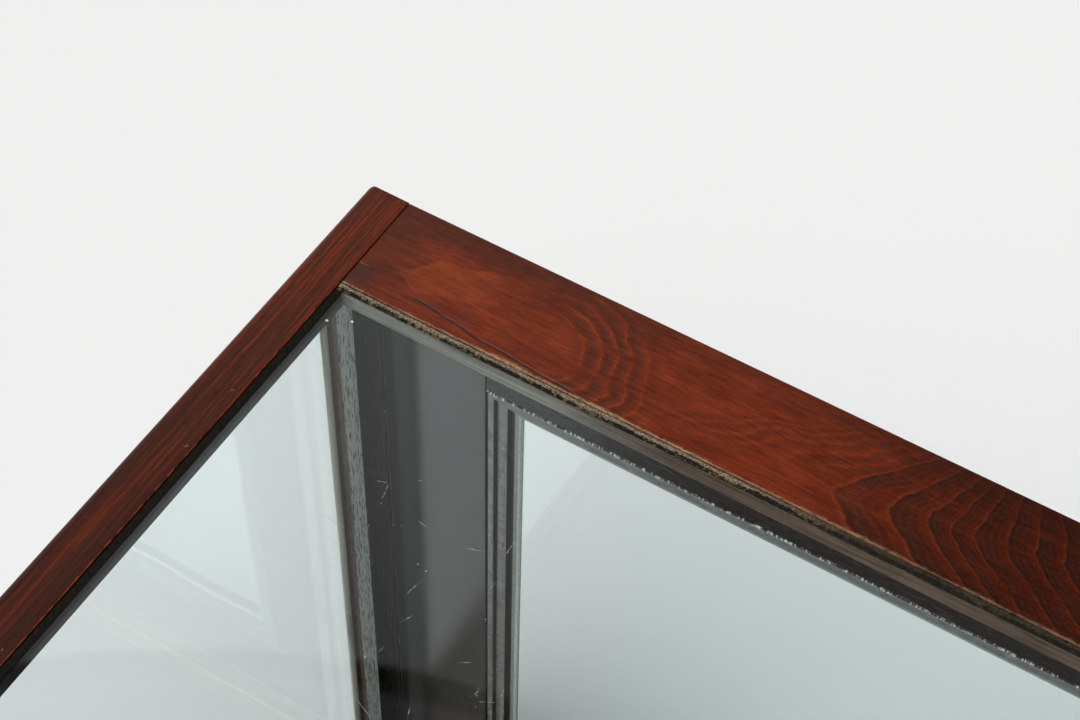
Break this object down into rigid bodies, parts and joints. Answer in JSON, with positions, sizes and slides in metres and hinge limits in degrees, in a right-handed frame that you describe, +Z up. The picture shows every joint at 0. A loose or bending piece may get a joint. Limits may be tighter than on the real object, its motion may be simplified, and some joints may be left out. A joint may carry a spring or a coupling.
{
  "type": "countertop display cabinet",
  "caption": "Glazed wooden countertop display cabinet: glass top, front and ends in a slim hardwood frame, sliding glazed doors on rollers at the back, flush finger pulls and a push lock.",
  "frame": {"origin": "middle of the underside, on the surface that the cabinet stands on", "axes": "+X right along the glazed front, +Y from the front towards the doors at the back, +Z up"},
  "size_m": [1.016, 0.508, 0.584],
  "materials": {
    "polished_wood": "French-polished mahogany, worn at the edges",
    "dark_wood": "dark stain, open pored",
    "glass": "old sheet glass, fine scratches",
    "putty": "dry dark glazing putty",
    "brass": "aged, rubbed bright where it is used"
  },
  "bodies": {
    "root": {"back_post_left": "dark_wood", "back_post_right": "dark_wood", "base_moulding_front": "polished_wood", "base_moulding_left": "polished_wood", "base_moulding_right": "polished_wood", "door_runner_inner": "brass", "door_runner_outer": "brass", "door_sill": "polished_wood", "floor_board": "dark_wood", "front_lower_rail": "polished_wood", "front_pane": "glass", "front_pane_bead": "dark_wood", "front_post_left": "polished_wood", "front_post_right": "polished_wood", "front_upper_rail": "polished_wood", "side_lower_rail_left": "polished_wood", "side_lower_rail_right": "polished_wood", "side_pane_bead_left": "dark_wood", "side_pane_bead_right": "dark_wood", "side_pane_left": "glass", "side_pane_right": "glass", "side_stile_left": "dark_wood", "side_stile_right": "dark_wood", "side_upper_rail_left": "polished_wood", "side_upper_rail_right": "polished_wood", "top_back_rail": "polished_wood", "top_front_rail": "polished_wood", "top_pane": "glass", "top_pane_putty": "putty", "top_side_rail_left": "polished_wood", "top_side_rail_right": "polished_wood"},
    "left_door": {"left_door_bead": "dark_wood", "left_door_bottom_rail": "dark_wood", "left_door_closing_axle": "brass", "left_door_closing_stile": "dark_wood", "left_door_meeting_axle": "brass", "left_door_meeting_stile": "dark_wood", "left_door_pane": "glass", "left_door_pull": "brass", "left_door_top_rail": "dark_wood", "lock_barrel": "brass"},
    "right_door": {"right_door_bead": "dark_wood", "right_door_bottom_rail": "dark_wood", "right_door_closing_axle": "brass", "right_door_closing_stile": "dark_wood", "right_door_meeting_axle": "brass", "right_door_meeting_stile": "dark_wood", "right_door_pane": "glass", "right_door_pull": "brass", "right_door_top_rail": "dark_wood", "lock_strike": "brass"},
    "left_closing_roller": {"left_door_closing_roller": "brass"},
    "left_meeting_roller": {"left_door_meeting_roller": "brass"},
    "right_closing_roller": {"right_door_closing_roller": "brass"},
    "right_meeting_roller": {"right_door_meeting_roller": "brass"},
    "lock_plunger": {"lock_plunger": "brass"}
  },
  "joints": [
    {"name": "left_door_slide", "type": "slide", "parent": "root", "child": "left_door", "axis": [1, 0, 0], "range_m": [0, 0.432]},
    {"name": "right_door_slide", "type": "slide", "parent": "root", "child": "right_door", "axis": [-1, 0, 0], "range_m": [0, 0.432]},
    {"name": "lock_plunger_slide", "type": "slide", "parent": "left_door", "child": "lock_plunger", "axis": [0, -1, 0], "range_m": [0, 0.008]},
    {"name": "left_closing_roller_spin", "type": "hinge", "parent": "left_door", "child": "left_closing_roller", "pos_m": [-0.3743, 0.2194, 0.0428], "axis": [0, 1, 0], "continuous": true},
    {"name": "left_meeting_roller_spin", "type": "hinge", "parent": "left_door", "child": "left_meeting_roller", "pos_m": [-0.06675, 0.2194, 0.0428], "axis": [0, 1, 0], "continuous": true},
    {"name": "right_closing_roller_spin", "type": "hinge", "parent": "right_door", "child": "right_closing_roller", "pos_m": [0.3743, 0.1984, 0.0428], "axis": [0, 1, 0], "continuous": true},
    {"name": "right_meeting_roller_spin", "type": "hinge", "parent": "right_door", "child": "right_meeting_roller", "pos_m": [0.06675, 0.1984, 0.0428], "axis": [0, 1, 0], "continuous": true}
  ],
  "couplings": [
    {"joint": "left_closing_roller_spin", "follows": "left_door_slide", "rad_per_m": 166.67},
    {"joint": "left_meeting_roller_spin", "follows": "left_door_slide", "rad_per_m": 166.67},
    {"joint": "right_closing_roller_spin", "follows": "right_door_slide", "rad_per_m": -166.67},
    {"joint": "right_meeting_roller_spin", "follows": "right_door_slide", "rad_per_m": -166.67}
  ]
}
